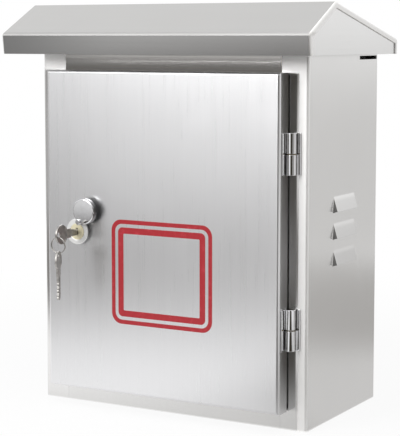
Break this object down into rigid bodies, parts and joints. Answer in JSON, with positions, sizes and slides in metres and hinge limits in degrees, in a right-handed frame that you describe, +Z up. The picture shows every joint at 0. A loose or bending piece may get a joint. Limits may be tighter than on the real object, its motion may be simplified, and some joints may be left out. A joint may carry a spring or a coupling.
{
  "type": "electrical distribution cabinet",
  "caption": "Stainless wall cabinet with a pitched rain roof, a hinged locking door, louvred sides and breakers on a rail inside, for outdoor electrical distribution.",
  "frame": {"origin": "middle of the body's underside", "axes": "+Z up, the door faces -Y, the wall side faces +Y, the hinges are at +X"},
  "size_m": [0.342, 0.2289, 0.4043],
  "materials": {
    "stainless_body": "satin",
    "stainless_door": "fine satin",
    "stainless_roof": "satin",
    "plated_steel": "zinc plated",
    "plate_white": "powder coat",
    "chrome": "polished",
    "key_steel": "nickel plated",
    "brass": "satin",
    "rubber": "matte",
    "case_plastic": "fine grain",
    "toggle_plastic": "fine grain",
    "insulator_plastic": "moulded"
  },
  "bodies": {
    "cabinet": {"body_wrapper": "stainless_body", "top_panel": "stainless_body", "bottom_panel": "stainless_body", "roof_sheet": "stainless_roof", "roof_gable_left": "stainless_roof", "roof_gable_right": "stainless_roof", "roof_soffit": "stainless_roof", "roof_weld_nuts": "plated_steel", "roof_bolts": "plated_steel", "cable_grommets": "rubber", "hinge_frame_leaves": "chrome", "hinge_pins": "plated_steel", "hinge_washers": "brass", "plate_studs": "plated_steel", "plate_nuts": "plated_steel", "mounting_plate": "plate_white", "din_rail": "plated_steel", "rail_screws": "plated_steel", "main_breaker": "case_plastic", "branch_breaker_1": "case_plastic", "branch_breaker_2": "case_plastic", "branch_breaker_3": "case_plastic", "branch_breaker_4": "case_plastic", "terminal_screws": "plated_steel", "neutral_bar": "brass", "neutral_insulators": "insulator_plastic", "neutral_screws": "plated_steel", "earth_bar": "brass", "earth_bar_feet": "plated_steel", "earth_screws": "plated_steel"},
    "door": {"door_panel": "stainless_door", "door_seal": "rubber", "hinge_door_leaves": "chrome", "lock_housing": "chrome", "lock_nut": "plated_steel", "cover_rivet": "chrome"},
    "lock": {"lock_plug": "brass", "lock_cam": "plated_steel", "cam_screw": "plated_steel", "lock_key": "key_steel", "key_ring": "key_steel", "spare_key": "key_steel"},
    "dust_cap": {"lock_cover": "chrome"},
    "main_switch": {"main_toggle": "toggle_plastic"},
    "branch_switch_1": {"branch_toggle_1": "toggle_plastic"},
    "branch_switch_2": {"branch_toggle_2": "toggle_plastic"},
    "branch_switch_3": {"branch_toggle_3": "toggle_plastic"},
    "branch_switch_4": {"branch_toggle_4": "toggle_plastic"}
  },
  "joints": [
    {"name": "door_hinge", "type": "hinge", "parent": "cabinet", "child": "door", "pos_m": [0.135, -0.086, 0.1805], "axis": [0, 0, 1], "range_deg": [0, 115]},
    {"name": "lock_turn", "type": "hinge", "parent": "door", "child": "lock", "pos_m": [-0.093, -0.101, 0.1785], "axis": [0, 1, 0], "range_deg": [0, 90]},
    {"name": "dust_cap_swing", "type": "hinge", "parent": "door", "child": "dust_cap", "pos_m": [-0.08737, -0.101, 0.1891], "axis": [0, 1, 0], "range_deg": [-75, 75]},
    {"name": "main_toggle_throw", "type": "hinge", "parent": "cabinet", "child": "main_switch", "pos_m": [-0.0358, 0.0063, 0.214], "axis": [-1, 0, 0], "range_deg": [0, 50]},
    {"name": "branch_toggle_1_throw", "type": "hinge", "parent": "cabinet", "child": "branch_switch_1", "pos_m": [-0.0091, 0.0063, 0.214], "axis": [-1, 0, 0], "range_deg": [0, 50]},
    {"name": "branch_toggle_2_throw", "type": "hinge", "parent": "cabinet", "child": "branch_switch_2", "pos_m": [0.0088, 0.0063, 0.214], "axis": [-1, 0, 0], "range_deg": [0, 50]},
    {"name": "branch_toggle_3_throw", "type": "hinge", "parent": "cabinet", "child": "branch_switch_3", "pos_m": [0.0267, 0.0063, 0.214], "axis": [-1, 0, 0], "range_deg": [0, 50]},
    {"name": "branch_toggle_4_throw", "type": "hinge", "parent": "cabinet", "child": "branch_switch_4", "pos_m": [0.0446, 0.0063, 0.214], "axis": [-1, 0, 0], "range_deg": [0, 50]}
  ]
}
